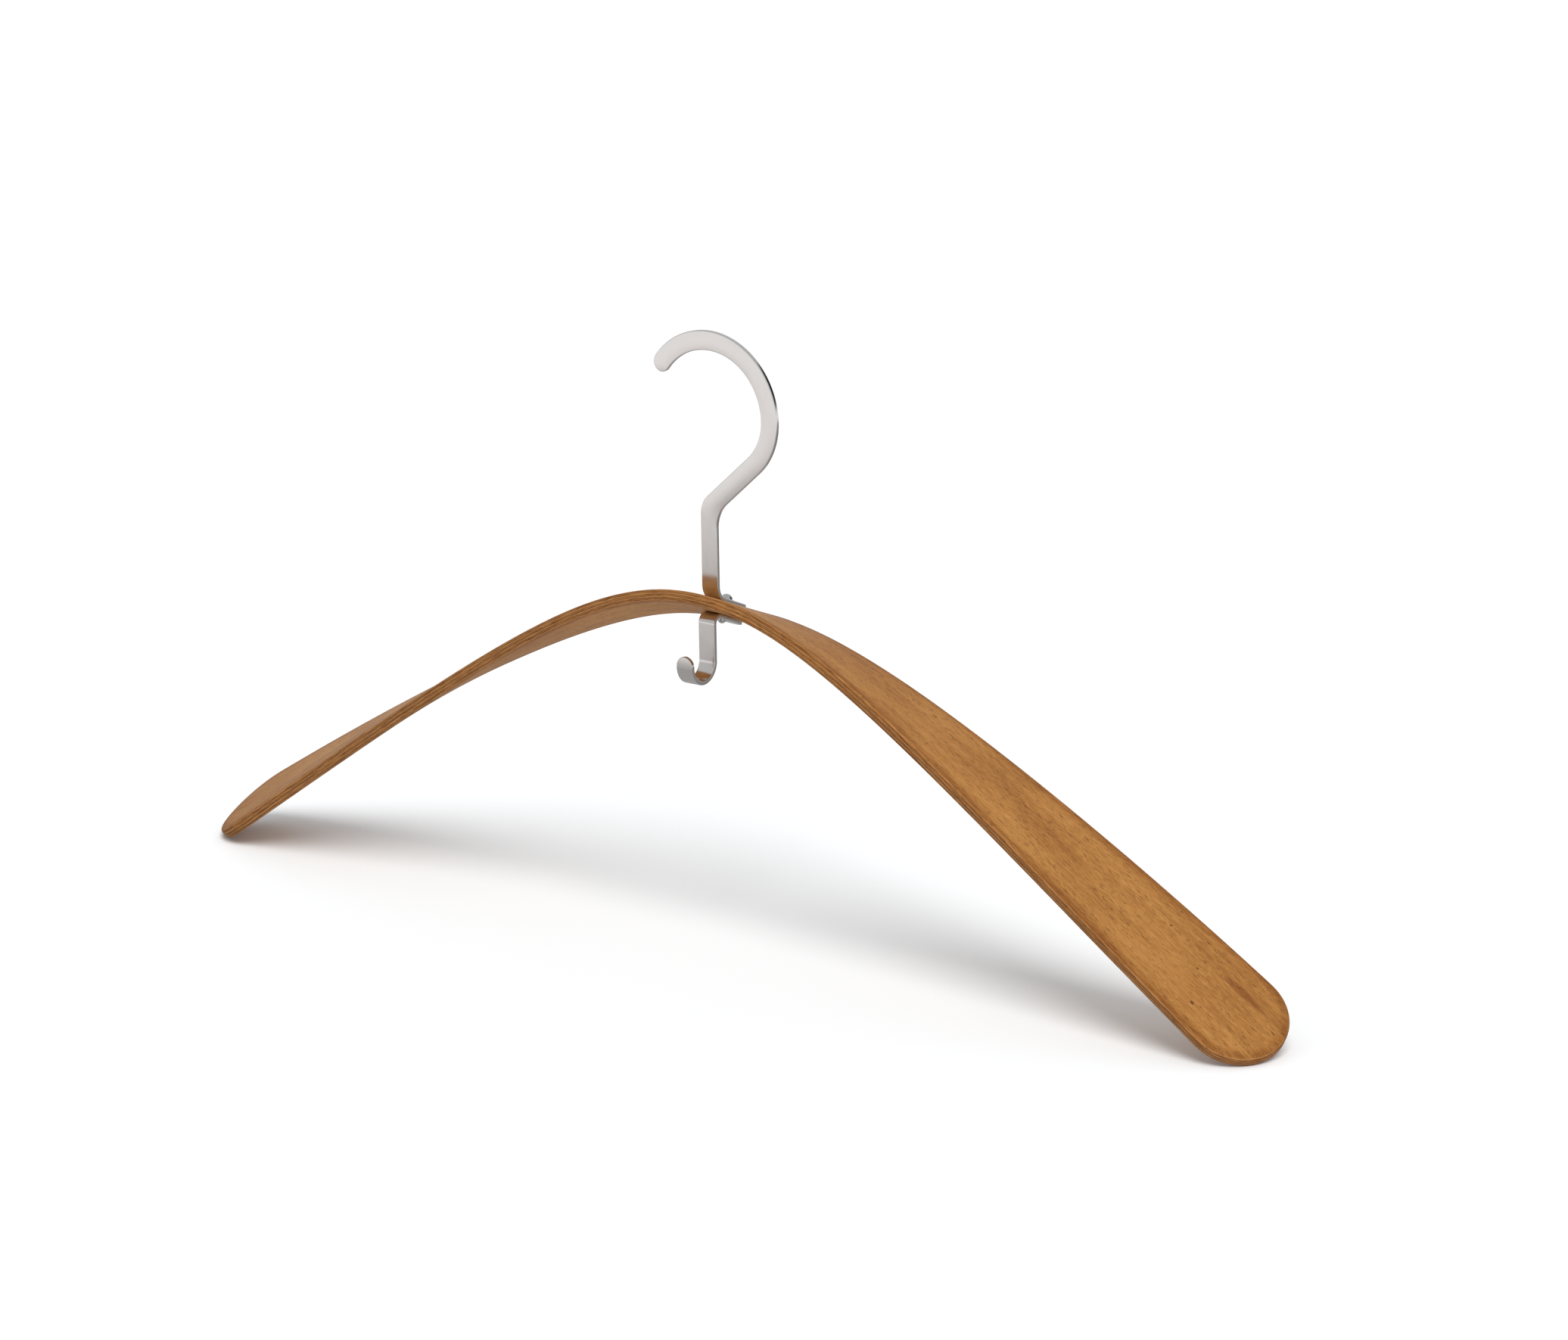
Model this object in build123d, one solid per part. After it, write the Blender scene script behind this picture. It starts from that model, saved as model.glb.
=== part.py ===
from build123d import *
from math import ceil, cos, pi, radians, sin, sqrt
import os

# Clothes hanger: a bow glued up from veneers, bent and twisted to the shoulders, with a flat
# steel hook above, a small J hook below, and one rivet through both feet and the bow.
# Millimetres, +Z up, -Y towards the front. The origin is the middle of the hanging hook's loop,
# where the rail goes, in the hook's mid-plane.

# ---- Bow
half_length = 259.2       # along the curve, middle to tip
veneer = 0.58             # one veneer
glue = 0.02               # glue line between two veneers
core_count = 5            # veneers between the two face veneers
slope_tip = 33.65         # downward slope at the tips, degrees
slope_knee = 0.140        # share of the arm at which half of that slope is reached
slope_power = 1.605
lean_middle = -23.6       # lean of the outer face: backwards at the middle, degrees
lean_tip = 21.5           # and forwards at the tips
lean_knee = 0.539
lean_power = 1.577
hub_half = 16.0           # half widths: at the hooks,
waist_half = 14.7         # at the narrowest place
shoulder_half = 18.7      # and at the shoulders
waist_at = 0.11           # share of the arm
tip_length = 19.4         # length of the rounded tongue
tip_last_angle = 82       # its outline ends here, degrees round the ellipse, in a small flat
edge_round = 1.2          # radius of the rounded edges
station_gap = 10.0        # spacing of the loft's sections
tip_stations = 7          # sections round each tongue

# ---- Steel
steel = 1.5               # sheet thickness
strip_half = 3.4          # half the width of both hooks
steel_round = 0.3         # radius of every edge of the strips
seat_gap = 0.02           # air between each foot and the bow, which curves under it
join_height = 20.0        # the flat hook and its foot meet this far above the middle of the bow

# ---- Hanging hook, in its own XZ plane
loop_inner = 22.0         # radius that the rail sits in
loop_tip_angle = 142.4    # where the loop's rounded tip is, degrees from +X
belly_radius = 21.35      # centre-line radius of the lower right quarter
throat_slope = 41.8       # slope of the straight run down to the shank, degrees
neck_outer = 8.4          # radius at the bend into the shank, on its left side
neck_inner = 12.0         # and in the hollow on its right side
shank_offset = 1.0        # the shank is this far to the left of the loop's middle
loop_height = 68.4        # loop's middle above the middle of the bow
bow_behind = 1.5          # middle of the bow behind the hook's mid-plane
hook_foot_bend = 5.2      # inner radius of the bend into the foot

# ---- Accessory hook
j_inner = 5.6             # inner radius of the J
j_drop = 18.1             # J's centre below the middle of the bow
j_front = 3.1             # front face of the J's shank, in front of the hanging hook's mid-plane
j_foot_bend = 1.8
j_straight = 0.5          # straight stretch before the rounded end

# ---- Feet and rivet, measured across the bow from its middle towards the rear edge
foot_end = 15.8
rivet_at = 6.2
rivet_radius = 1.2
head_radius = 2.3
head_height = 1.9
tail_radius = 1.5
tail_height = 1.3

veneer_count = core_count + 2
pitch = veneer + glue
skin = (pitch * veneer_count - glue) / 2              # mid-surface to either face
middle = Vector(-shank_offset, bow_behind, -loop_height)
loop_mid = loop_inner + strip_half
j_centre = Vector(-shank_offset, -j_front - j_inner, -loop_height - j_drop)


def rise(share, knee, power):
    """A smooth step from 0 at the middle to 1 at the tip, steepest around the knee."""
    return share**power * (1 + knee**power) / (share**power + knee**power)


def ease(share):
    """Half a cosine wave from 0 to 1."""
    return (1 - cos(pi * min(max(share, 0), 1))) / 2


def slope_at(s):
    return radians(slope_tip) * rise(s / half_length, slope_knee, slope_power)


def lean_at(s):
    return radians(lean_middle + (lean_tip - lean_middle) * rise(s / half_length, lean_knee, lean_power))


def half_width_at(s):
    share = s / half_length
    to_hub = (hub_half - waist_half) * ease(1 - share / waist_at)
    to_shoulder = (shoulder_half - waist_half) * ease((share - waist_at) / (1 - waist_at))
    return waist_half + to_hub + to_shoulder


def centre_at(s, side, step=0.5):
    """Point on the centre line of one arm, by adding up short steps along the slope."""
    x = z = 0.0
    steps = max(1, ceil(s / step))
    for index in range(steps):
        slope = slope_at((index + 0.5) * s / steps)
        x += cos(slope) * s / steps
        z -= sin(slope) * s / steps
    return middle + Vector(side * x, 0, z)


def frame_at(s, side):
    """Centre, direction to the tip, direction to the rear edge, and the outer face's normal."""
    slope, lean = slope_at(s), lean_at(s)
    along = Vector(side * cos(slope), 0, -sin(slope))
    upright = Vector(side * sin(slope), 0, cos(slope))
    across = Vector(0, 1, 0) * cos(lean) + upright * sin(lean)
    normal = Vector(0, -1, 0) * sin(lean) + upright * cos(lean)
    return centre_at(s, side), along, across, normal


def edge_inset(height):
    """How far the rounded edge stands in, at a height from the mid-surface."""
    over = abs(height) - (skin - edge_round)
    return edge_round - sqrt(edge_round**2 - over**2) if over > 0 else 0.0


def stations():
    """Distance along the arm and angle round the tongue's end, from middle to tip."""
    straight = half_length - tip_length
    count = round(straight / station_gap)
    pairs = [(straight * index / count, 0.0) for index in range(count + 1)]
    for step in range(1, tip_stations + 1):
        angle = radians(tip_last_angle * step / tip_stations)
        pairs.append((straight + tip_length * sin(angle), angle))
    return pairs


def veneer_section(s, angle, side, low, high):
    """Cross-section of one veneer, between two heights."""
    centre, along, across, normal = frame_at(s, side)
    corners = []
    for height, ends in ((low, (-1, 1)), (high, (1, -1))):
        inset = edge_inset(height)
        half = (half_width_at(s) - inset) * cos(angle)
        row = centre + normal * height - along * (inset * sin(angle))
        corners += [row + across * (half * end) for end in ends]
    return Wire.make_polygon(corners)


def build_veneer(index):
    """One veneer of the bow, counted from the inner face, with the rivet's hole."""
    low = -skin + pitch * index
    arm = stations()
    order = [(s, angle, -1) for s, angle in reversed(arm[1:])] + [(s, angle, 1) for s, angle in arm]
    sections = [veneer_section(s, angle, side, low, low + veneer) for s, angle, side in order]
    return Solid.make_loft(sections) - rivet_bar(rivet_radius, low - pitch, low + 2 * pitch)


def bow_point(width, height):
    """A point in the middle plane of the bow, across its width and above its mid-surface."""
    centre, _, across, normal = frame_at(0, 1)
    return centre + across * width + normal * height


def rivet_bar(radius, low, high):
    """A round bar on the rivet's axis, between two heights."""
    _, along, _, normal = frame_at(0, 1)
    base = Plane(origin=bow_point(rivet_at, low), x_dir=along, z_dir=normal)
    return extrude(base * Circle(radius), high - low)


def dome(radius, height, base, way):
    """A spherical cap on the rivet's axis, rising from base upwards or downwards."""
    ball = (radius**2 + height**2) / (2 * height)
    centre = bow_point(rivet_at, base - way * (ball - height))
    low, high = sorted((base, base + way * 2 * height))
    return Pos(*centre) * Sphere(ball) & rivet_bar(2 * radius, low, high)


def build_rivet():
    reach = skin + seat_gap + steel
    head = dome(head_radius, head_height, reach, 1)
    tail = dome(tail_radius, tail_height, -reach, -1)
    return rivet_bar(rivet_radius, -reach, reach) + head + tail


def round_end_waste(plane):
    """What a half-round end leaves outside. The plane's x axis points out of the strip."""
    block = Pos(strip_half, 0) * Rectangle(2 * strip_half, 4 * strip_half)
    return extrude(plane * (block - Circle(strip_half)), 2 * steel, both=True)


def side_solid(edges):
    """A closed outline in the plane of the shanks, given the strip's width."""
    return extrude(Face(Wire(edges)), strip_half, dir=(1, 0, 0), both=True)


def build_foot(way, bend, shank_rear, shank_end):
    """A foot on the bow with its bend and a stretch of shank.

    way is 1 above the bow and -1 below. shank_rear is the y of the shank's rear face, and
    shank_end the height where the shank stops.
    """
    _, _, across, normal = frame_at(0, 1)
    near = way * (skin + seat_gap)
    far = near + way * steel
    bend_height = far + way * bend
    start = (shank_rear + bend - middle.Y - normal.Y * bend_height) / across.Y
    centre = bow_point(start, bend_height)
    forward = Vector(0, -1, 0)
    halfway = (forward - normal * way).normalized()
    outer = bend + steel
    rear_top, front_top = centre + forward * bend, centre + forward * outer
    rear_end, front_end = (Vector(point.X, point.Y, shank_end) for point in (rear_top, front_top))
    body = side_solid([
        Line(bow_point(foot_end, far), bow_point(start, far)),
        ThreePointArc(bow_point(start, far), centre + halfway * bend, rear_top),
        Line(rear_top, rear_end),
        Line(rear_end, front_end),
        Line(front_end, front_top),
        ThreePointArc(front_top, centre + halfway * outer, bow_point(start, near)),
        Line(bow_point(start, near), bow_point(foot_end, near)),
        Line(bow_point(foot_end, near), bow_point(foot_end, far)),
    ])
    end = Plane(origin=bow_point(foot_end - strip_half, (near + far) / 2), x_dir=across, z_dir=normal)
    return body - round_end_waste(end)


def finish_strip(strip):
    """Rounds a hook's edges, then drills its foot for the rivet."""
    solid = strip.solids()[0]
    reach = skin + 2 * steel
    return solid.fillet(steel_round, solid.edges()) - rivet_bar(rivet_radius, -reach, reach)


def hook_side(offset_out, neck_radius, bottom):
    """One edge of the flat hook from its tip to the shank's lower end.

    offset_out is the edge's distance from the centre line, and positive on the outside of the loop.
    """
    turn = 90 - throat_slope
    out = Vector(sin(radians(throat_slope)), -cos(radians(throat_slope)))
    belly = Vector(loop_mid - belly_radius, 0)
    belly_edge = belly_radius + offset_out
    neck_x = offset_out - shank_offset + neck_radius
    neck_y = (out.X * (neck_x - belly.X) - belly_edge - neck_radius) / -out.Y
    loop_arc = CenterArc((0, 0), loop_mid + offset_out, 0, loop_tip_angle)
    belly_arc = CenterArc(belly, belly_edge, -turn, turn)
    neck_arc = CenterArc((neck_x, neck_y), neck_radius, 90 + throat_slope, turn)
    foot = Vector((neck_arc @ 1).X, bottom)
    return [loop_arc, belly_arc, Line(belly_arc @ 0, neck_arc @ 0), neck_arc, Line(neck_arc @ 1, foot)]


def build_hanging_hook():
    bottom = join_height - loop_height
    right = hook_side(strip_half, neck_inner, bottom)
    left = hook_side(-strip_half, neck_outer, bottom)
    tip_angle = radians(loop_tip_angle)
    tip = Vector(cos(tip_angle), sin(tip_angle)) * loop_mid + Vector(-sin(tip_angle), cos(tip_angle)) * strip_half
    cap = ThreePointArc(right[0] @ 1, tip, left[0] @ 1)
    base = Line(right[-1] @ 1, left[-1] @ 1)
    plate = extrude(Plane.XZ * Face(Wire(right + [cap] + left + [base])), steel / 2, both=True)
    foot = build_foot(1, hook_foot_bend, steel / 2, bottom)
    return finish_strip(plate + foot)


def build_accessory_hook():
    outer = j_inner + steel
    up = j_straight + strip_half
    sideways, upwards = Vector(0, 1, 0), Vector(0, 0, 1)
    heel, toe = j_centre + sideways * outer, j_centre - sideways * outer
    inner_heel, inner_toe = j_centre + sideways * j_inner, j_centre - sideways * j_inner
    curl = side_solid([
        ThreePointArc(heel, j_centre - upwards * outer, toe),
        Line(toe, toe + upwards * up),
        Line(toe + upwards * up, inner_toe + upwards * up),
        Line(inner_toe + upwards * up, inner_toe),
        ThreePointArc(inner_toe, j_centre - upwards * j_inner, inner_heel),
        Line(inner_heel, heel),
    ])
    end = Plane(origin=(toe + inner_toe) / 2 + upwards * j_straight, x_dir=(0, 0, 1), z_dir=(0, 1, 0))
    foot = build_foot(-1, j_foot_bend, -j_front + steel, j_centre.Z)
    return finish_strip(foot + (curl - round_end_waste(end)))


def main():
    pieces = {"inner_face_veneer": build_veneer(0)}
    for index in range(1, core_count + 1):
        pieces[f"core_veneer_{index}"] = build_veneer(index)
    pieces["outer_face_veneer"] = build_veneer(veneer_count - 1)
    pieces["hanging_hook"] = build_hanging_hook()
    pieces["accessory_hook"] = build_accessory_hook()
    pieces["dome_rivet"] = build_rivet()
    os.makedirs("parts", exist_ok=True)
    for name, shape in pieces.items():
        export_step(shape, f"parts/{name}.step")


main()
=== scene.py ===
from math import acos, asin, cos, pi, radians, sin
import bmesh
import bpy
from mathutils import Matrix, Vector


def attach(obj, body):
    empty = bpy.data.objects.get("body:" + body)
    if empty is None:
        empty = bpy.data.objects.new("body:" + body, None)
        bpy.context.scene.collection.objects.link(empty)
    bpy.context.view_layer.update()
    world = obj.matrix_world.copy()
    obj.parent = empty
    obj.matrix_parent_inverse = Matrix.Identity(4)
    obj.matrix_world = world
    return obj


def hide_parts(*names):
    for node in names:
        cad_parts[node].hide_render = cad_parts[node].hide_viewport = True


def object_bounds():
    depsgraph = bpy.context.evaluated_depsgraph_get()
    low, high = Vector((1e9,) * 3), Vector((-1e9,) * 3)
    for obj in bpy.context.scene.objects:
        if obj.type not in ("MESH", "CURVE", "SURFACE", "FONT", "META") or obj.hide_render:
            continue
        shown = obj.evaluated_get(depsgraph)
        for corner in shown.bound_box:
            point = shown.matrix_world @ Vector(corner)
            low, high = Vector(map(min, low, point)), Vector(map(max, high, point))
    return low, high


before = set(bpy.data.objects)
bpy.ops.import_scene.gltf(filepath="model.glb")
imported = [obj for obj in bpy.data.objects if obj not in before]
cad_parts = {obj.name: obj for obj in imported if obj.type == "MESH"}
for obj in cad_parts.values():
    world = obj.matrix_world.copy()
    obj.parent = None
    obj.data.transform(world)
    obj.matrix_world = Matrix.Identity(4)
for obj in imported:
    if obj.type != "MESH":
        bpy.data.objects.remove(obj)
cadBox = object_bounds()
scene = bpy.context.scene
mm = 0.001
print("frame loaded", [[round(value, 4) for value in corner] for corner in cadBox])


# a number inside a node tree, so that a formula reads as it is written
class Term:
    def __init__(self, tree, socket):
        self.tree = tree
        self.socket = socket

    def run(self, operation, *others):
        node = self.tree.nodes.new("ShaderNodeMath")
        node.operation = operation
        for slot, value in zip(node.inputs, (self, *others)):
            if isinstance(value, Term):
                self.tree.links.new(value.socket, slot)
            else:
                slot.default_value = value
        return Term(self.tree, node.outputs[0])

    def flipped(self, operation, first):
        node = self.tree.nodes.new("ShaderNodeMath")
        node.operation = operation
        node.inputs[0].default_value = first
        self.tree.links.new(self.socket, node.inputs[1])
        return Term(self.tree, node.outputs[0])

    def __add__(self, other):
        return self.run("ADD", other)

    def __sub__(self, other):
        return self.run("SUBTRACT", other)

    def __mul__(self, other):
        return self.run("MULTIPLY", other)

    def __truediv__(self, other):
        return self.run("DIVIDE", other)

    def __pow__(self, other):
        return self.run("POWER", other)

    def __rsub__(self, other):
        return self.flipped("SUBTRACT", other)

    def __rtruediv__(self, other):
        return self.flipped("DIVIDE", other)

    __radd__ = __add__
    __rmul__ = __mul__

    def sin(self):
        return self.run("SINE")

    def cos(self):
        return self.run("COSINE")

    def sqrt(self):
        return self.run("SQRT")

    def size(self):
        return self.run("ABSOLUTE")

    def sign(self):
        return self.run("SIGN")

    def floor(self):
        return self.run("FLOOR")

    def atLeast(self, other):
        return self.run("MAXIMUM", other)

    def atMost(self, other):
        return self.run("MINIMUM", other)

    def clip(self):
        return self.atLeast(0.0).atMost(1.0)

    # 0 below low, 1 above high, and a soft step between them
    def fade(self, low, high):
        part = ((self - low) / (high - low)).clip()
        return part * part * (3.0 - 2.0 * part)


# adds a node with its settings and plugs a value or a socket into each named input
def addNode(tree, kind, settings=None, **inputs):
    node = tree.nodes.new(kind)
    for key, value in (settings or {}).items():
        setattr(node, key, value)
    for key, value in inputs.items():
        plug(tree, value, node.inputs[key.replace("_", " ")])
    return node


def plug(tree, value, slot):
    if isinstance(value, Term):
        tree.links.new(value.socket, slot)
    elif isinstance(value, bpy.types.NodeSocket):
        tree.links.new(value, slot)
    else:
        slot.default_value = value


def joinXyz(tree, x, y, z):
    node = tree.nodes.new("ShaderNodeCombineXYZ")
    for value, slot in zip((x, y, z), node.inputs):
        plug(tree, value, slot)
    return node.outputs[0]


def vectorSum(tree, *parts):
    total = parts[0]
    for part in parts[1:]:
        node = addNode(tree, "ShaderNodeVectorMath", {"operation": "ADD"})
        plug(tree, total, node.inputs[0])
        plug(tree, part, node.inputs[1])
        total = node.outputs[0]
    return total


def scaled(tree, vector, factor):
    node = addNode(tree, "ShaderNodeVectorMath", {"operation": "SCALE"})
    plug(tree, vector, node.inputs[0])
    plug(tree, factor, node.inputs["Scale"])
    return node.outputs[0]


# the bow: sizes in metres, angles in degrees, shares are of one arm's length
bow = {
    "halfLength": 0.2592, "slopeTip": 33.65, "slopeKnee": 0.140, "slopePower": 1.605,
    "leanMiddle": -23.6, "leanTip": 21.5, "leanKnee": 0.539, "leanPower": 1.577,
    "hubHalf": 0.0160, "waistHalf": 0.0147, "shoulderHalf": 0.0187, "waistAt": 0.11,
    "tipLength": 0.0194, "edgeRound": 0.0012, "veneer": 0.00058, "glue": 0.00002, "veneers": 7,
    "tipPull": 0.0002,      # the round end stops this much short of the plain ellipse
    "grooveDepth": 0.00005, "grooveWidth": 0.00009,   # sanded-out glue line
    "unevenness": 0.00007,  # waviness of the sanded edges
    "stations": 170, "tipStations": 22, "acrossSteps": 22, "edgeSteps": 10, "spineSteps": 520,
}
bowPitch = bow["veneer"] + bow["glue"]
skin = (bowPitch * bow["veneers"] - bow["glue"]) / 2
bowMiddle = Vector((-1.0 * mm, 1.5 * mm, -68.4 * mm))
hubLean = radians(bow["leanMiddle"])
hubAcross = Vector((0, cos(hubLean), sin(hubLean)))
hubNormal = Vector((0, -sin(hubLean), cos(hubLean)))

veneerInputs = [
    ("Low", 0.0), ("High", 0.001), ("Skin", skin), ("Half Length", bow["halfLength"]),
    ("Slope Tip", radians(bow["slopeTip"])), ("Slope Knee", bow["slopeKnee"]),
    ("Slope Power", bow["slopePower"]), ("Lean Middle", radians(bow["leanMiddle"])),
    ("Lean Tip", radians(bow["leanTip"])), ("Lean Knee", bow["leanKnee"]),
    ("Lean Power", bow["leanPower"]), ("Hub Half", bow["hubHalf"]), ("Waist Half", bow["waistHalf"]),
    ("Shoulder Half", bow["shoulderHalf"]), ("Waist At", bow["waistAt"]),
    ("Tip Length", bow["tipLength"]), ("Tip Pull", bow["tipPull"]), ("Edge Round", bow["edgeRound"]),
    ("Groove Depth", bow["grooveDepth"]), ("Groove Width", bow["grooveWidth"]),
    ("Unevenness", bow["unevenness"]),
]


def buildVeneerTree():
    tree = bpy.data.node_groups.new("veneerStrip", "GeometryNodeTree")
    face = tree.interface
    for name, value in veneerInputs:
        face.new_socket(name, in_out="INPUT", socket_type="NodeSocketFloat").default_value = value
    face.new_socket("Middle", in_out="INPUT", socket_type="NodeSocketVector").default_value = bowMiddle
    face.new_socket("Seed", in_out="INPUT", socket_type="NodeSocketInt").default_value = 3
    face.new_socket("Material", in_out="INPUT", socket_type="NodeSocketMaterial")
    face.new_socket("Geometry", in_out="OUTPUT", socket_type="NodeSocketGeometry")
    entry = tree.nodes.new("NodeGroupInput")
    given = {name: Term(tree, entry.outputs[name]) for name, _ in veneerInputs}
    rawIndex = Term(tree, tree.nodes.new("GeometryNodeInputIndex").outputs[0])

    def rise(share, knee, power):
        knee = knee ** power
        share = share ** power
        return share * (1.0 + knee) / (share + knee)

    def slopeAt(share):
        return given["Slope Tip"] * rise(share, given["Slope Knee"], given["Slope Power"])

    def ease(share):
        return (1.0 - (share.clip() * pi).cos()) * 0.5

    # the spine of one arm: short steps added up along the slope
    steps = bow["spineSteps"]
    stepLength = given["Half Length"] / steps
    stepSlope = slopeAt((rawIndex + 0.5) / steps)
    spineLine = addNode(tree, "GeometryNodeMeshLine", Count=steps + 1)
    runs = []
    for advance in (stepSlope.cos() * stepLength, stepSlope.sin() * stepLength * -1.0):
        total = addNode(tree, "GeometryNodeAccumulateField", Value=advance)
        runs.append(Term(tree, total.outputs["Trailing"]))
    spineMesh = addNode(tree, "GeometryNodeSetPosition", Geometry=spineLine.outputs[0],
                        Position=joinXyz(tree, runs[0], 0.0, runs[1]))
    spine = addNode(tree, "GeometryNodeMeshToCurve", Mesh=spineMesh.outputs[0])

    # a grid: one row of points round the section for every station from tip to tip
    half = bow["stations"] + bow["tipStations"]
    around = 2 * (bow["acrossSteps"] + bow["edgeSteps"])
    grid = addNode(tree, "GeometryNodeMeshGrid", Vertices_X=2 * half + 1, Vertices_Y=around + 1)
    station = (rawIndex / (around + 1)).floor()
    ring = rawIndex - station * (around + 1)
    fromMiddle = station - half
    side = fromMiddle.sign()
    away = fromMiddle.size()
    straight = given["Half Length"] - given["Tip Length"]
    body = (away / bow["stations"]).atMost(1.0)
    turn = ((away - bow["stations"]) / bow["tipStations"]).atLeast(0.0) * (pi / 2)
    tongue = given["Tip Length"] - given["Tip Pull"]
    distance = straight * body + tongue * turn.sin()
    share = distance / given["Half Length"]

    slope = slopeAt(share)
    lean = given["Lean Middle"] + (given["Lean Tip"] - given["Lean Middle"]) * rise(
        share, given["Lean Knee"], given["Lean Power"])
    width = given["Waist Half"] + (given["Hub Half"] - given["Waist Half"]) * ease(
        1.0 - share / given["Waist At"])
    width = width + (given["Shoulder Half"] - given["Waist Half"]) * ease(
        (share - given["Waist At"]) / (1.0 - given["Waist At"]))

    # round the section: across the outer face, down one edge, back underneath, up the other edge
    wide, deep = bow["acrossSteps"], bow["edgeSteps"]
    cross = (ring / wide).clip() - ((ring - (wide + deep)) / wide).clip()
    level = 1.0 - ((ring - wide) / deep).clip() + ((ring - (2 * wide + deep)) / deep).clip()
    level = (1.0 - (level * pi).cos()) * 0.5
    height = given["Low"] + (given["High"] - given["Low"]) * level
    over = (height.size() - (given["Skin"] - given["Edge Round"])).atLeast(0.0).atMost(given["Edge Round"])
    inset = given["Edge Round"] - (given["Edge Round"] ** 2.0 - over * over).atLeast(0.0).sqrt()
    toBorder = level.atMost(1.0 - level) * (given["High"] - given["Low"])
    groove = (1.0 - toBorder / given["Groove Width"]).atLeast(0.0)
    inset = inset + groove * groove * given["Groove Depth"]

    # the sanded edge is a little uneven, and each veneer in its own way
    where = joinXyz(tree, distance * side * 45.0, cross * 7.0, height * 900.0)
    wave = addNode(tree, "ShaderNodeTexNoise", {"noise_dimensions": "4D"}, Vector=where, Scale=1.0,
                   Detail=2.0, W=Term(tree, entry.outputs["Seed"]) * 3.7)
    inset = inset + Term(tree, wave.outputs[0]) * given["Unevenness"]

    reach = (width - inset) * turn.cos()
    across = (cross * 2.0 - 1.0) * reach
    back = inset * turn.sin() * -1.0
    spot = addNode(tree, "GeometryNodeSampleCurve", {"mode": "LENGTH", "use_all_curves": True},
                   Curves=spine.outputs[0], Length=distance)
    spotXyz = addNode(tree, "ShaderNodeSeparateXYZ", Vector=spot.outputs["Position"])
    centre = joinXyz(tree, Term(tree, spotXyz.outputs[0]) * side, 0.0, Term(tree, spotXyz.outputs[2]))
    along = joinXyz(tree, side * slope.cos(), 0.0, slope.sin() * -1.0)
    sideways = joinXyz(tree, side * slope.sin() * lean.sin(), lean.cos(), slope.cos() * lean.sin())
    outward = joinXyz(tree, side * slope.sin() * lean.cos(), lean.sin() * -1.0, slope.cos() * lean.cos())
    place = vectorSum(tree, entry.outputs["Middle"], centre, scaled(tree, along, back),
                      scaled(tree, sideways, across), scaled(tree, outward, height))
    shaped = addNode(tree, "GeometryNodeSetPosition", Geometry=grid.outputs[0], Position=place)

    # along the grain, across it, and up from the middle of the stack
    marked = addNode(tree, "GeometryNodeStoreNamedAttribute",
                     {"data_type": "FLOAT_VECTOR", "domain": "POINT"},
                     Geometry=shaped.outputs[0], Name="grainPlace")
    plug(tree, joinXyz(tree, (distance + back) * side, across, height), marked.inputs["Value"])
    # 0 where the rounding meets a flat face, 1 on the square cut edge
    onEdge = addNode(tree, "GeometryNodeStoreNamedAttribute",
                     {"data_type": "FLOAT", "domain": "POINT"},
                     Geometry=marked.outputs[0], Name="cutEdge")
    plug(tree, 1.0 - inset / given["Edge Round"], onEdge.inputs["Value"])
    # how far a point of a face lies from the outline
    part = (cross * 2.0 - 1.0) * turn.cos()
    inside = 1.0 - (turn.sin() ** 2.0 + part * part).sqrt()
    border = addNode(tree, "GeometryNodeStoreNamedAttribute",
                     {"data_type": "FLOAT", "domain": "POINT"},
                     Geometry=onEdge.outputs[0], Name="fromBorder")
    plug(tree, inside * width, border.inputs["Value"])
    closed = addNode(tree, "GeometryNodeMergeByDistance", Geometry=border.outputs[0], Distance=1e-6)
    smooth = addNode(tree, "GeometryNodeSetShadeSmooth", Geometry=closed.outputs[0], Shade_Smooth=True)
    real = addNode(tree, "GeometryNodeRealizeInstances", Geometry=smooth.outputs[0])
    painted = addNode(tree, "GeometryNodeSetMaterial", Geometry=real.outputs[0],
                      Material=entry.outputs["Material"])
    leave = tree.nodes.new("NodeGroupOutput")
    tree.links.new(painted.outputs[0], leave.inputs[0])
    return tree


def meshObject(name, mesh):
    made = bpy.data.objects.new(name, mesh)
    scene.collection.objects.link(made)
    return made


# turns an object with a Geometry Nodes modifier into a plain mesh that keeps its name
def applyTree(name, tree, values, material):
    carrier = meshObject(name + "Carrier", bpy.data.meshes.new(name + "Carrier"))
    modifier = carrier.modifiers.new("grow", "NODES")
    modifier.node_group = tree
    entries = [item for item in tree.interface.items_tree if item.in_out == "INPUT"]
    sockets = {item.name: item.identifier for item in entries}
    for key, value in values.items():
        modifier[sockets[key]] = value
    modifier[sockets["Material"]] = material
    graph = bpy.context.evaluated_depsgraph_get()
    mesh = bpy.data.meshes.new_from_object(carrier.evaluated_get(graph))
    carrier.modifiers.remove(modifier)
    bpy.data.objects.remove(carrier)
    mesh.name = name
    return meshObject(name, mesh)


def turnOutwards(mesh):
    work = bmesh.new()
    work.from_mesh(mesh)
    if work.calc_volume(signed=True) < 0:
        bmesh.ops.reverse_faces(work, faces=work.faces)
    work.to_mesh(mesh)
    work.free()


# an empty material with its shader and output joined
def startMaterial(name):
    material = bpy.data.materials.new(name)
    material.use_nodes = True
    tree = material.node_tree
    tree.nodes.clear()
    shader = tree.nodes.new("ShaderNodeBsdfPrincipled")
    output = tree.nodes.new("ShaderNodeOutputMaterial")
    tree.links.new(shader.outputs[0], output.inputs[0])
    return material, tree, shader


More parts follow.
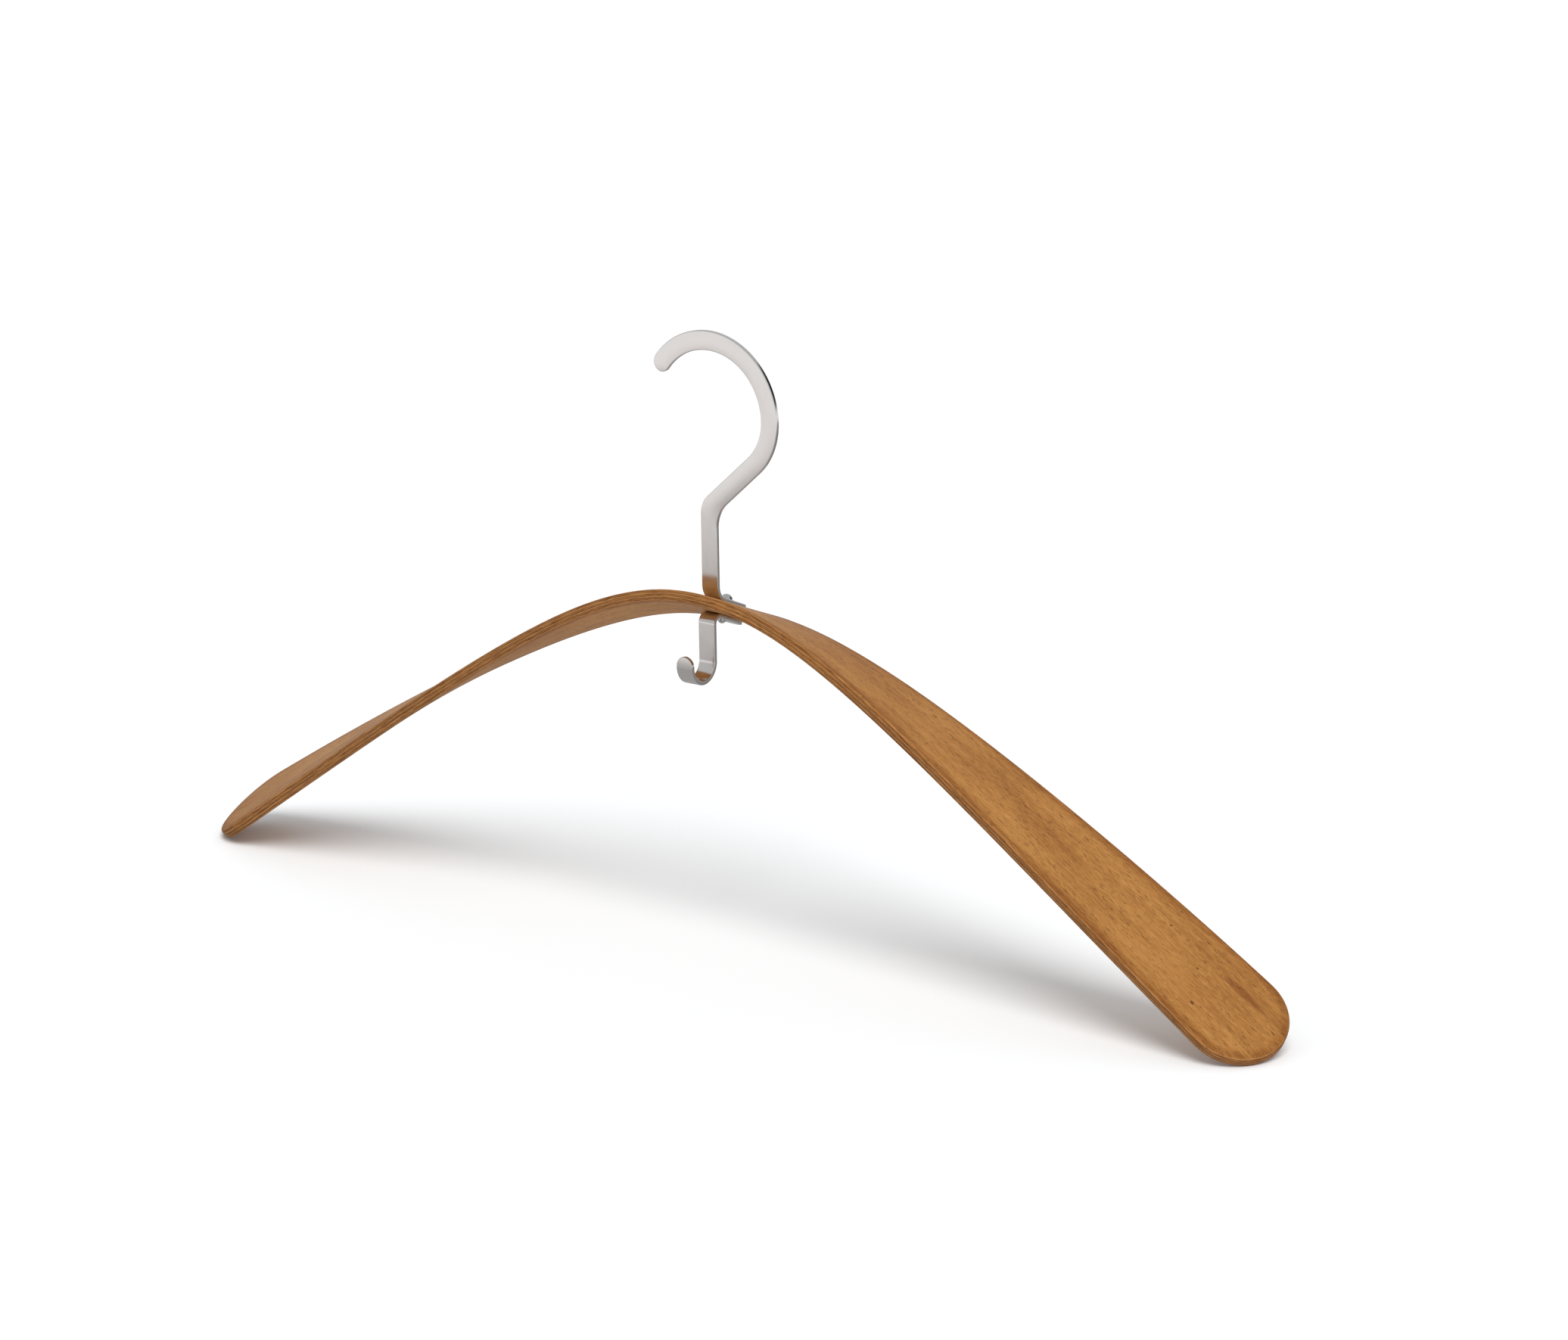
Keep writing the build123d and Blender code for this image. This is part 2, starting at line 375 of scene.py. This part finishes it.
# the three numbers that a piece stores for each point
def attributeXyz(tree, name):
    source = addNode(tree, "ShaderNodeAttribute", {"attribute_name": name})
    split = addNode(tree, "ShaderNodeSeparateXYZ", Vector=source.outputs["Vector"])
    return [Term(tree, output) for output in split.outputs]


def noise(tree, x, y, z, detail=2.0, rough=0.5, warp=0.0):
    node = addNode(tree, "ShaderNodeTexNoise", {"noise_dimensions": "3D"},
                   Vector=joinXyz(tree, x, y, z), Scale=1.0, Detail=detail, Roughness=rough, Distortion=warp)
    return Term(tree, node.outputs[0])


def ramp(tree, factor, stops):
    node = addNode(tree, "ShaderNodeValToRGB", Fac=factor)
    band = node.color_ramp
    while len(band.elements) > 1:
        band.elements.remove(band.elements[-1])
    band.elements[0].position = stops[0][0]
    band.elements[0].color = (*stops[0][1], 1.0)
    for position, colour in stops[1:]:
        band.elements.new(position).color = (*colour, 1.0)
    return node.outputs[0]


def mixColour(tree, factor, first, second, blend="MIX"):
    node = addNode(tree, "ShaderNodeMix", {"data_type": "RGBA", "blend_type": blend})
    plug(tree, factor, node.inputs[0])
    plug(tree, first, node.inputs[6])
    plug(tree, second, node.inputs[7])
    return node.outputs[2]


wood = {
    "dark": (0.215, 0.076, 0.019), "middle": (0.360, 0.158, 0.040), "light": (0.480, 0.232, 0.070),
    "pore": (0.070, 0.026, 0.009), "fleck": (0.60, 0.34, 0.14), "glueLine": (0.035, 0.013, 0.006),
    # the last colour on the next line is painted shade for the border of the face
    "edgeShade": (0.92, 0.80, 0.68), "endGrain": (0.34, 0.25, 0.19), "paintedBorderShadeColour": (0.66, 0.55, 0.46),
    "rough": 0.50, "sheen": 0.14, "bumpStrength": 0.35, "bumpHeight": 0.00018,
    # how strongly each mark shows
    "cloudShow": 0.48, "bandShow": 0.30, "fibreShow": 0.66, "toneShift": -0.21, "poreShow": 0.66,
    "fleckShow": 0.36, "speckShow": 0.8, "paintedBorderShadeShow": 0.85, "paleShow": 0.42, "lineShow": 0.72,
    # noise cells per metre along the grain, across it and up through the stack; per veneer in drift
    # and cloud
    "drift": (14.0, 40.0, 9.0), "cloud": (16.0, 70.0, 5.0), "band": (34.0, 420.0, 900.0),
    "fibre": (240.0, 3000.0, 5200.0), "poreDash": (420.0, 3600.0, 3000.0), "poreCrowd": (30.0, 160.0, 0.0),
    "fleckDash": (520.0, 3000.0, 2500.0), "paintedBorderShade": (60.0, 900.0, 0.0),
    "cutEnds": (1500.0, 900.0, 3000.0), "cutStreaks": (160.0, 200.0, 9000.0),
    "glueBreaks": (90.0, 300.0, 3.0),
    "driftReach": 0.004, "paintedBorderShadeReach": 0.0036, "glueReach": (0.00003, 0.00013),
    # a darker streak near one tip: middle along and across, then how far it reaches each way
    "streak": (0.2370, 0.0090, 0.0120, 0.0018), "streakShow": 0.15, "streakBend": 0.004,
    # dark specks: along, across, radius
    "specks": [(0.2290, -0.0095, 0.00075), (0.2030, 0.0075, 0.00050), (0.2205, 0.0020, 0.00045)],
    "speckStretch": 0.62,
}


def attributeNumber(tree, name):
    return Term(tree, addNode(tree, "ShaderNodeAttribute", {"attribute_name": name}).outputs["Fac"])


# noise stretched along the grain; cells is a triple from the wood values
def grain(tree, place, cells, shift, detail=2.0, rough=0.5, warp=0.0):
    x, y, z = [value * cell for value, cell in zip(place, cells)]
    return noise(tree, x, y, z + shift, detail, rough, warp)


# the soft tone of the wood: clouds, bands and fibres, and one darker streak
def woodTone(tree, along, lane, height, layer, seed):
    cloud = grain(tree, (along, lane, layer), wood["cloud"], seed, 3.0, 0.55, 0.4)
    band = grain(tree, (along, lane, height), wood["band"], seed, 4.0, 0.6)
    fibre = grain(tree, (along, lane, height), wood["fibre"], seed, 3.0, 0.6)
    tone = cloud * wood["cloudShow"] + band * wood["bandShow"] + fibre * wood["fibreShow"]
    tone = tone + wood["toneShift"]
    middleAlong, middleAcross, reachAlong, reachAcross = wood["streak"]
    awayAlong = (along - middleAlong) / reachAlong
    awayAcross = (lane - middleAcross - (band - 0.5) * wood["streakBend"]) / reachAcross
    streak = 1.0 - (awayAlong * awayAlong + awayAcross * awayAcross).fade(0.1, 1.0)
    return tone - streak * wood["streakShow"], fibre


# dark specks in the face, each a little longer along the grain
def addSpecks(tree, colour, along, across):
    for speckAlong, speckAcross, reach in wood["specks"]:
        gap = ((along - speckAlong) * wood["speckStretch"]) ** 2.0 + (across - speckAcross) ** 2.0
        speck = (1.0 - gap.sqrt().fade(reach * 0.4, reach)) * wood["speckShow"]
        colour = mixColour(tree, speck, colour, (*wood["pore"], 1.0))
    return colour


# the cut edge shows the stack: every other veneer is cut across its grain, with glue lines between
def edgeColour(tree, colour, place, layer, edge, seed):
    odd = layer * 0.5 - (layer * 0.5).floor()
    cutEnds = grain(tree, place, wood["cutEnds"], seed)
    streaks = grain(tree, place, wood["cutStreaks"], seed, 3.0, 0.6).fade(0.36, 0.66)
    shade = (odd * 0.50 + cutEnds * 0.25 + streaks * 0.80 - 0.42).clip() * edge
    colour = mixColour(tree, edge, colour, (*wood["edgeShade"], 1.0), "MULTIPLY")
    colour = mixColour(tree, shade, colour, (*wood["endGrain"], 1.0), "MULTIPLY")
    pale = (1.0 - streaks) * (1.0 - odd * 1.4) * edge
    colour = mixColour(tree, pale * wood["paleShow"], colour, (*wood["fleck"], 1.0))
    along, across, height = place
    depth = (height + skin) / bowPitch
    rest = depth - depth.floor()
    toGlue = rest.atMost(1.0 - rest) * bowPitch
    broken = grain(tree, (along, across, depth.run("ROUND")), wood["glueBreaks"], seed)
    line = (1.0 - toGlue.fade(*wood["glueReach"])) * edge * broken.fade(0.30, 0.62)
    return mixColour(tree, line * wood["lineShow"], colour, (*wood["glueLine"], 1.0)), line


def buildWood(name, brightness, seed):
    material, tree, shader = startMaterial(name)
    along, across, height = attributeXyz(tree, "grainPlace")
    edge = attributeNumber(tree, "cutEdge").fade(0.35, 0.75)
    border = attributeNumber(tree, "fromBorder")
    layer = ((height + skin) / bowPitch).floor()
    # grain lines drift a little sideways along the arm
    lane = across + grain(tree, (along, across, layer), wood["drift"], seed, 1.0) * wood["driftReach"]
    place = (along, lane, height)
    tone, fibre = woodTone(tree, along, lane, height, layer, seed)
    colour = ramp(tree, tone, [(0.30, wood["dark"]), (0.52, wood["middle"]), (0.74, wood["light"])])
    # pores: short dark dashes along the grain, thicker in some places
    dash = grain(tree, place, wood["poreDash"], seed, 1.0, 0.4)
    crowd = grain(tree, place, wood["poreCrowd"], seed + 4.0)
    pore = (dash + (crowd - 0.5) * 0.20).fade(0.635, 0.71)
    colour = mixColour(tree, pore * wood["poreShow"], colour, (*wood["pore"], 1.0))
    colour = addSpecks(tree, colour, along, across)
    # pale flecks between the pores
    fleck = grain(tree, place, wood["fleckDash"], seed + 11.0, 1.0, 0.4).fade(0.68, 0.76)
    colour = mixColour(tree, fleck * wood["fleckShow"], colour, (*wood["fleck"], 1.0))
    # painted shade: the face is a little darker in patches along its border
    patchy = grain(tree, (along, across, height), wood["paintedBorderShade"], seed, 3.0).fade(0.15, 0.6)
    paintedBorderShade = (1.0 - border.fade(0.0, wood["paintedBorderShadeReach"])) * (1.0 - edge) * patchy
    colour = mixColour(tree, paintedBorderShade * wood["paintedBorderShadeShow"], colour, (*wood["paintedBorderShadeColour"], 1.0), "MULTIPLY")
    colour, line = edgeColour(tree, colour, (along, across, height), layer, edge, seed)
    lift = addNode(tree, "ShaderNodeHueSaturation", Color=colour, Value=brightness)
    plug(tree, lift.outputs[0], shader.inputs["Base Color"])
    finish = fibre * 0.16 + pore * 0.14 + edge * 0.10 + (wood["rough"] - 0.08)
    plug(tree, finish.clip(), shader.inputs["Roughness"])
    shader.inputs["Specular IOR Level"].default_value = wood["sheen"]
    relief = fibre * 0.35 - pore - line * 0.8 + dash * 0.15
    bump = addNode(tree, "ShaderNodeBump", Strength=wood["bumpStrength"], Distance=wood["bumpHeight"],
                   Height=relief)
    plug(tree, bump.outputs[0], shader.inputs["Normal"])
    return material


steel = {
    "colour": (0.750, 0.708, 0.684), "shade": (0.690, 0.650, 0.626), "rough": 0.20,
    "streak": (60.0, 9000.0), "cloud": (120.0, 260.0),   # noise cells per metre along and across
    "rivetColour": (0.66, 0.64, 0.62), "rivetShade": (0.56, 0.54, 0.52), "rivetRough": 0.20,
}


def buildSteel(name, colour, shade, rough):
    material, tree, shader = startMaterial(name)
    along, across, _ = attributeXyz(tree, "grainPlace")
    streak = noise(tree, along * steel["streak"][0], across * steel["streak"][1], 2.0, 3.0, 0.6)
    cloud = noise(tree, along * steel["cloud"][0], across * steel["cloud"][1], 5.0, 3.0, 0.5)
    tone = streak * 0.5 + cloud * 0.5
    plug(tree, ramp(tree, tone, [(0.32, shade), (0.66, colour)]), shader.inputs["Base Color"])
    plug(tree, streak * 0.10 + cloud * 0.10 + (rough - 0.10), shader.inputs["Roughness"])
    shader.inputs["Metallic"].default_value = 1.0
    bump = addNode(tree, "ShaderNodeBump", Strength=0.06, Distance=0.00002, Height=streak)
    plug(tree, bump.outputs[0], shader.inputs["Normal"])
    return material


faceWood = buildWood("honeyFaceVeneer", 1.0, 2.0)
coreWood = buildWood("honeyCoreVeneer", 0.94, 21.0)
hookSteel = buildSteel("satinSteelStrip", steel["colour"], steel["shade"], steel["rough"])
rivetSteel = buildSteel("plainRivetSteel", steel["rivetColour"], steel["rivetShade"], steel["rivetRough"])
print("materials ready")

# veneers
veneerTree = buildVeneerTree()
veneerNodes = [f"core_veneer_{index}" for index in range(1, bow["veneers"] - 1)]
veneerNodes = ["inner_face_veneer", *veneerNodes, "outer_face_veneer"]
veneerPieces = []
for index, node in enumerate(veneerNodes):
    low = -skin + bowPitch * index
    core = node.startswith("core")
    name = node.split("_")[0] + ("Veneer" + node[-1] if core else "FaceVeneer")
    values = {"Low": low, "High": low + bow["veneer"], "Seed": index}
    piece = applyTree(name, veneerTree, values, coreWood if core else faceWood)
    turnOutwards(piece.data)
    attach(piece, "root")
    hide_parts(node)
    veneerPieces.append(piece)
print("veneers ready", [len(piece.data.polygons) for piece in veneerPieces])

# steel strips: angles in degrees, radii are of the edge or face nearer the middle of the bend
strip = {
    "thick": 1.5 * mm, "half": 3.4 * mm, "round": 0.3 * mm, "gap": 0.02 * mm,
    "capSteps": 14, "cornerSteps": 5,
}
hook = {
    "loopInner": 22.0 * mm, "tipAngle": 142.4, "belly": 21.35 * mm, "throatSlope": 41.8,
    "neckOuter": 8.4 * mm, "neckInner": 12.0 * mm, "shankX": -1.0 * mm, "footBend": 5.2 * mm,
    "footEnd": 15.8 * mm,
}
lowerHook = {
    "inner": 5.6 * mm, "front": 3.1 * mm,        # the face stands this far ahead of the tall hook
    "drop": 18.1 * mm, "footBend": 1.8 * mm,     # the curl's middle lies this far under the hub
    "straight": 0.5 * mm,
}


# a station is (left edge, right edge, travel, face normal); in a bend each edge has its own radius
def arcStations(centres, radii, start, end, first, second, normalAt, steps):
    found = []
    for index in range(steps + 1):
        angle = start + (end - start) * index / steps
        spoke = first * cos(angle) + second * sin(angle)
        travel = (second * cos(angle) - first * sin(angle)) * (1 if end > start else -1)
        edges = [centre + spoke * radius for centre, radius in zip(centres, radii)]
        found.append((*edges, travel, normalAt(spoke)))
    return found


# a strip with rounded edges and half-round ends
def stripMesh(name, stations):
    thick, curve = strip["thick"] / 2, strip["round"]
    profile = []
    for corner in (1, -1):
        for step in range(strip["cornerSteps"] + 1):
            share = step / strip["cornerSteps"]
            angle = pi / 2 * (1 - share if corner > 0 else share)
            profile.append((curve - curve * cos(angle), corner * (thick - curve + curve * sin(angle))))
    caps = [pi / 2 * index / strip["capSteps"] for index in range(strip["capSteps"], 0, -1)]
    rings = [(stations[0], -turn) for turn in caps] + [(station, 0.0) for station in stations]
    rings += [(stations[-1], turn) for turn in reversed(caps)]
    work = bmesh.new()
    layer = work.verts.layers.float_vector.new("grainPlace")
    travelled = 0.0
    previous = None
    loops = []
    for (leftEdge, rightEdge, travel, normal), turn in rings:
        middle = (leftEdge + rightEdge) / 2
        half = (rightEdge - leftEdge).length / 2
        sideways = (rightEdge - leftEdge).normalized()
        if previous is not None:
            travelled += (middle - previous).length
        previous = middle
        ring = []
        for side, edgeList in ((1, profile), (-1, profile[::-1])):
            for inset, height in edgeList:
                reach = (half - inset) * cos(turn)
                ahead = (half - inset) * sin(turn)
                vert = work.verts.new(middle + sideways * (side * reach) + travel * ahead + normal * height)
                vert[layer] = (travelled + ahead, side * reach, height)
                ring.append(vert)
        loops.append(ring)
    for one, two in zip(loops, loops[1:]):
        for index in range(len(one)):
            after = (index + 1) % len(one)
            work.faces.new((one[index], one[after], two[after], two[index]))
    bmesh.ops.remove_doubles(work, verts=work.verts, dist=1e-7)
    bmesh.ops.dissolve_degenerate(work, edges=work.edges, dist=1e-8)
    for one in work.faces:
        one.smooth = True
    mesh = bpy.data.meshes.new(name)
    work.to_mesh(mesh)
    work.free()
    return mesh


right, upwards, forwards = Vector((1, 0, 0)), Vector((0, 0, 1)), Vector((0, -1, 0))


# bend and foot on the bow; way is 1 above it and -1 below it
def footStations(way, bend, shankRear):
    near = way * (skin + strip["gap"])
    far = near + way * strip["thick"]
    bendHeight = far + way * bend
    start = (shankRear + bend - bowMiddle.y - hubNormal.y * bendHeight) / hubAcross.y
    centre = bowMiddle + hubAcross * start + hubNormal * bendHeight
    down = hubNormal * -way
    turn = acos(forwards.dot(down))
    second = (down - forwards * forwards.dot(down)).normalized()
    radius = bend + strip["thick"] / 2
    halfWide = right * strip["half"] * way
    stations = arcStations((centre - halfWide, centre + halfWide), (radius, radius), 0.0, turn,
                           forwards, second, lambda spoke: spoke, 20)
    end = bowMiddle + hubAcross * (hook["footEnd"] - strip["half"]) + hubNormal * (near + far) / 2
    stations.append((end - halfWide, end + halfWide, hubAcross.copy(), down))
    return stations


def hookStations():
    loopMid = hook["loopInner"] + strip["half"]
    turn = radians(90 - hook["throatSlope"])
    slope = radians(hook["throatSlope"])
    belly = Vector((loopMid - hook["belly"], 0, 0))
    out = Vector((sin(slope), 0, -cos(slope)))
    necks = []
    for offset, radius in ((strip["half"], hook["neckInner"]), (-strip["half"], hook["neckOuter"])):
        x = offset + hook["shankX"] + radius
        z = (out.x * (x - belly.x) - hook["belly"] - offset - radius) / -out.z
        necks.append(Vector((x, 0, z)))
    edges = (strip["half"], -strip["half"])
    loop, origin = [loopMid + edge for edge in edges], Vector((0, 0, 0))
    bellies = [hook["belly"] + edge for edge in edges]

    def facing(spoke):
        return forwards

    path = arcStations((origin, origin), loop, radians(hook["tipAngle"]), 0.0, right, upwards, facing, 72)
    path += arcStations((belly, belly), bellies, 0.0, -turn, right, upwards, facing, 30)[1:]
    path += arcStations(necks, (hook["neckInner"], hook["neckOuter"]), radians(90) + slope, pi,
                        right, upwards, facing, 24)
    foot = footStations(1, hook["footBend"], strip["thick"] / 2)
    return path + [(rightEdge, leftEdge, travel, normal) for leftEdge, rightEdge, travel, normal in foot]


def lowerHookStations():
    foot = footStations(-1, lowerHook["footBend"], -lowerHook["front"] + strip["thick"])
    path = []
    for leftEdge, rightEdge, travel, normal in reversed(foot):
        path.append((leftEdge, rightEdge, -travel, normal))
    reach = lowerHook["front"] + lowerHook["inner"]
    centre = Vector((bowMiddle.x, -reach, bowMiddle.z - lowerHook["drop"]))
    halfWide = right * -strip["half"]
    radius = lowerHook["inner"] + strip["thick"] / 2
    curl = arcStations((centre - halfWide, centre + halfWide), (radius, radius), 0.0, -pi,
                       forwards * -1, upwards, lambda spoke: spoke * -1, 44)
    lift = upwards * lowerHook["straight"]
    leftEdge, rightEdge, travel, normal = curl[-1]
    return path + curl + [(leftEdge + lift, rightEdge + lift, travel, normal)]


def addPiece(name, mesh, material, node):
    piece = meshObject(name, mesh)
    piece.data.materials.append(material)
    turnOutwards(piece.data)
    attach(piece, "root")
    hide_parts(node)
    return piece


addPiece("hangingHook", stripMesh("hangingHook", hookStations()), hookSteel,
         "hanging_hook")
addPiece("accessoryHook", stripMesh("accessoryHook", lowerHookStations()), hookSteel,
         "accessory_hook")
print("hooks ready")

# rivet: a turned profile, from the top of the head to the set tail
rivet = {
    "at": 6.2 * mm, "shank": 1.2 * mm, "headRadius": 2.3 * mm, "headHeight": 1.9 * mm,
    "tailRadius": 1.5 * mm, "tailHeight": 1.3 * mm, "steps": 14, "sides": 64,
}


def capProfile(radius, height, base, way):
    ball = (radius ** 2 + height ** 2) / (2 * height)
    widest = asin(min(radius / ball, 1.0)) if height <= ball else pi - asin(radius / ball)
    middle = base + way * (height - ball)
    angles = [widest * index / rivet["steps"] for index in range(rivet["steps"] + 1)]
    return [(ball * sin(angle), middle + way * ball * cos(angle)) for angle in angles]


def rivetMesh():
    top = skin + strip["gap"] + strip["thick"]
    bottom = -top
    profile = capProfile(rivet["headRadius"], rivet["headHeight"], top, 1)
    profile += [(rivet["shank"], top), (rivet["shank"], bottom)]
    profile += capProfile(rivet["tailRadius"], rivet["tailHeight"], bottom, -1)[::-1]
    work = bmesh.new()
    layer = work.verts.layers.float_vector.new("grainPlace")
    base = bowMiddle + hubAcross * rivet["at"]
    loops = []
    for radius, height in profile:
        ring = []
        for index in range(rivet["sides"]):
            angle = 2 * pi * index / rivet["sides"]
            spoke = right * cos(angle) + hubAcross * sin(angle)
            vert = work.verts.new(base + spoke * radius + hubNormal * height)
            vert[layer] = (radius, rivet["headRadius"] * angle / 40, height)
            ring.append(vert)
        loops.append(ring)
    for one, two in zip(loops, loops[1:]):
        for index in range(rivet["sides"]):
            after = (index + 1) % rivet["sides"]
            work.faces.new((one[index], one[after], two[after], two[index]))
    bmesh.ops.remove_doubles(work, verts=work.verts, dist=1e-7)
    for one in work.faces:
        one.smooth = True
    for edge in work.edges:
        if len(edge.link_faces) == 2 and edge.calc_face_angle() > radians(40):
            edge.smooth = False
    mesh = bpy.data.meshes.new("domeRivet")
    work.to_mesh(mesh)
    work.free()
    return mesh


addPiece("domeRivet", rivetMesh(), rivetSteel, "dome_rivet")
print("rivet ready")

# floor, light and camera
studio = {   # the key comes from the front right, high up and soft
    "floorSize": 16.0, "floorColour": (0.90, 0.90, 0.90), "skyColour": (0.95, 0.98, 1.0), "sky": 0.62,
    "keyAim": (-0.53, 0.47, -1.0), "keyStrength": 2.15, "keySpread": 33.0,
    "cameraPlace": (1.2265, -1.5817, 0.4807), "yaw": 37.111, "pitch": -15.944, "roll": -0.881,
    "lens": 138.99,
}


def buildFloor():
    half = studio["floorSize"] / 2
    height = cadBox[0][2]
    mesh = bpy.data.meshes.new("floor")
    corners = [(-half, -half, height), (half, -half, height), (half, half, height), (-half, half, height)]
    mesh.from_pydata(corners, [], [(0, 1, 2, 3)])
    floor = meshObject("floor", mesh)
    material, tree, shader = startMaterial("paleFloor")
    shader.inputs["Base Color"].default_value = (*studio["floorColour"], 1.0)
    shader.inputs["Roughness"].default_value = 0.9
    shader.inputs["Specular IOR Level"].default_value = 0.1
    mesh.materials.append(material)


def addKey():
    light = bpy.data.lights.new("keyLight", "SUN")
    light.energy = studio["keyStrength"]
    light.angle = radians(studio["keySpread"])
    lamp = bpy.data.objects.new("keyLight", light)
    scene.collection.objects.link(lamp)
    lamp.visible_glossy = False
    lamp.rotation_euler = Vector(studio["keyAim"]).to_track_quat("-Z", "Y").to_euler()


def buildCamera():
    yaw, pitch, roll = (radians(studio[key]) for key in ("yaw", "pitch", "roll"))
    ahead = Vector((-sin(yaw) * cos(pitch), cos(yaw) * cos(pitch), sin(pitch)))
    level = Vector((cos(yaw), sin(yaw), 0))
    above = level.cross(ahead)
    rightwards = level * cos(roll) + above * sin(roll)
    top = above * cos(roll) - level * sin(roll)
    data = bpy.data.cameras.new("camera")
    data.lens = studio["lens"]
    data.sensor_width = 36.0
    data.clip_end = 60.0   # past the far side of the floor
    camera = bpy.data.objects.new("camera", data)
    scene.collection.objects.link(camera)
    turned = Matrix((rightwards, top, -ahead)).transposed().to_4x4()
    camera.matrix_world = Matrix.Translation(Vector(studio["cameraPlace"])) @ turned
    scene.camera = camera


# sheets that only reflections see: painted reflections, so that bright steel has something darker to show
cards = {
    # over the floor: a painted reflection, dim round the hanger and as bright as the floor farther out
    "nearGlow": 0.42, "farGlow": 1.05, "nearReach": 0.28, "farReach": 0.78, "floorGap": 2 * mm,
    # upright, behind on the right: black, for a painted dark reflection
    "darkPlace": (0.55, 0.80, 0.40), "darkHalfWidth": 0.34, "darkHalfHeight": 0.37, "darkGlow": 0.0,
    # lying on the same side, a dim painted reflection for the edges that face that way
    "lowNear": 0.16, "lowFar": 0.95, "lowHalfNear": 0.16, "lowHalfFar": 0.34, "lowGlow": 0.26,
    "lowGap": 5 * mm,
}


def addCard(name, corners, glow):
    mesh = bpy.data.meshes.new(name)
    mesh.from_pydata(corners, [], [tuple(range(len(corners)))])
    card = meshObject(name, mesh)
    material = bpy.data.materials.new(name)
    material.use_nodes = True
    tree = material.node_tree
    tree.nodes.clear()
    lit = tree.nodes.new("ShaderNodeEmission")
    plug(tree, glow(tree) if callable(glow) else glow, lit.inputs["Strength"])
    output = tree.nodes.new("ShaderNodeOutputMaterial")
    tree.links.new(lit.outputs[0], output.inputs[0])
    mesh.materials.append(material)
    card.visible_camera = False
    card.visible_diffuse = False
    card.visible_shadow = False


# brightness of the painted reflection over the floor, by the distance from the hanger's middle
def floorGlow(tree):
    place = addNode(tree, "ShaderNodeTexCoord").outputs["Object"]
    split = addNode(tree, "ShaderNodeSeparateXYZ", Vector=place)
    x, y = Term(tree, split.outputs[0]), Term(tree, split.outputs[1])
    away = (x * x + y * y).sqrt().fade(cards["nearReach"], cards["farReach"])
    return away * (cards["farGlow"] - cards["nearGlow"]) + cards["nearGlow"]


def addCards():
    floorHeight = cadBox[0][2]
    reach = cards["farReach"] + 0.02
    turns = [radians(5 * index) for index in range(72)]
    rim = [(reach * cos(turn), reach * sin(turn), floorHeight + cards["floorGap"]) for turn in turns]
    addCard("floorCard", rim, floorGlow)
    behind, level = Vector((0.6, 0.8, 0.0)), Vector((0.8, -0.6, 0.0))
    middle = Vector(cards["darkPlace"])
    wide, tall = level * cards["darkHalfWidth"], upwards * cards["darkHalfHeight"]
    corners = [middle - wide - tall, middle + wide - tall, middle + wide + tall, middle - wide + tall]
    addCard("darkCard", corners, cards["darkGlow"])
    low = upwards * (floorHeight + cards["lowGap"])
    near, far = behind * cards["lowNear"] + low, behind * cards["lowFar"] + low
    nearWide, farWide = level * cards["lowHalfNear"], level * cards["lowHalfFar"]
    corners = [near - nearWide, near + nearWide, far + farWide, far - farWide]
    addCard("lowDarkCard", corners, cards["lowGlow"])


def addSky():
    world = bpy.data.worlds.new("studio")
    world.use_nodes = True
    background = world.node_tree.nodes["Background"]
    background.inputs["Color"].default_value = (*studio["skyColour"], 1.0)
    background.inputs["Strength"].default_value = studio["sky"]
    scene.world = world


buildFloor()
addCards()
addKey()
addSky()
scene.view_settings.view_transform = "Standard"
buildCamera()
print("studio ready")
